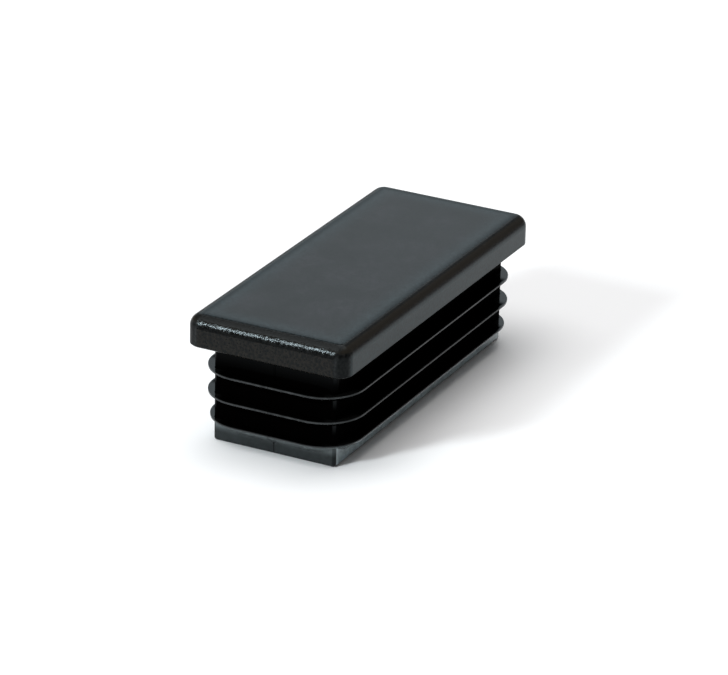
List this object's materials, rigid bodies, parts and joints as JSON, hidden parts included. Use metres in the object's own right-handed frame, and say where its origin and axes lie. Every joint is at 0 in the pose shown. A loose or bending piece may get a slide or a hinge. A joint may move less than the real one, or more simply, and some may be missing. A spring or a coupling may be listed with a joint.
{
  "type": "profile end cap",
  "caption": "Push-in end cap for a rectangular steel tube: a flat head with rounded edges over a hollow shank ringed by thin flexible ribs.",
  "frame": {"origin": "centre of the foot's bottom, where the cap stands on the open end of its shank", "axes": "+Z from the open foot up through the head, against the push-in direction; +X along the long side of the tube"},
  "size_m": [0.07, 0.03, 0.0231],
  "materials": {
    "black_plastic": "fine eroded satin, black polyethylene"
  },
  "bodies": {
    "root": {"end_cap": "black_plastic"}
  },
  "joints": []
}
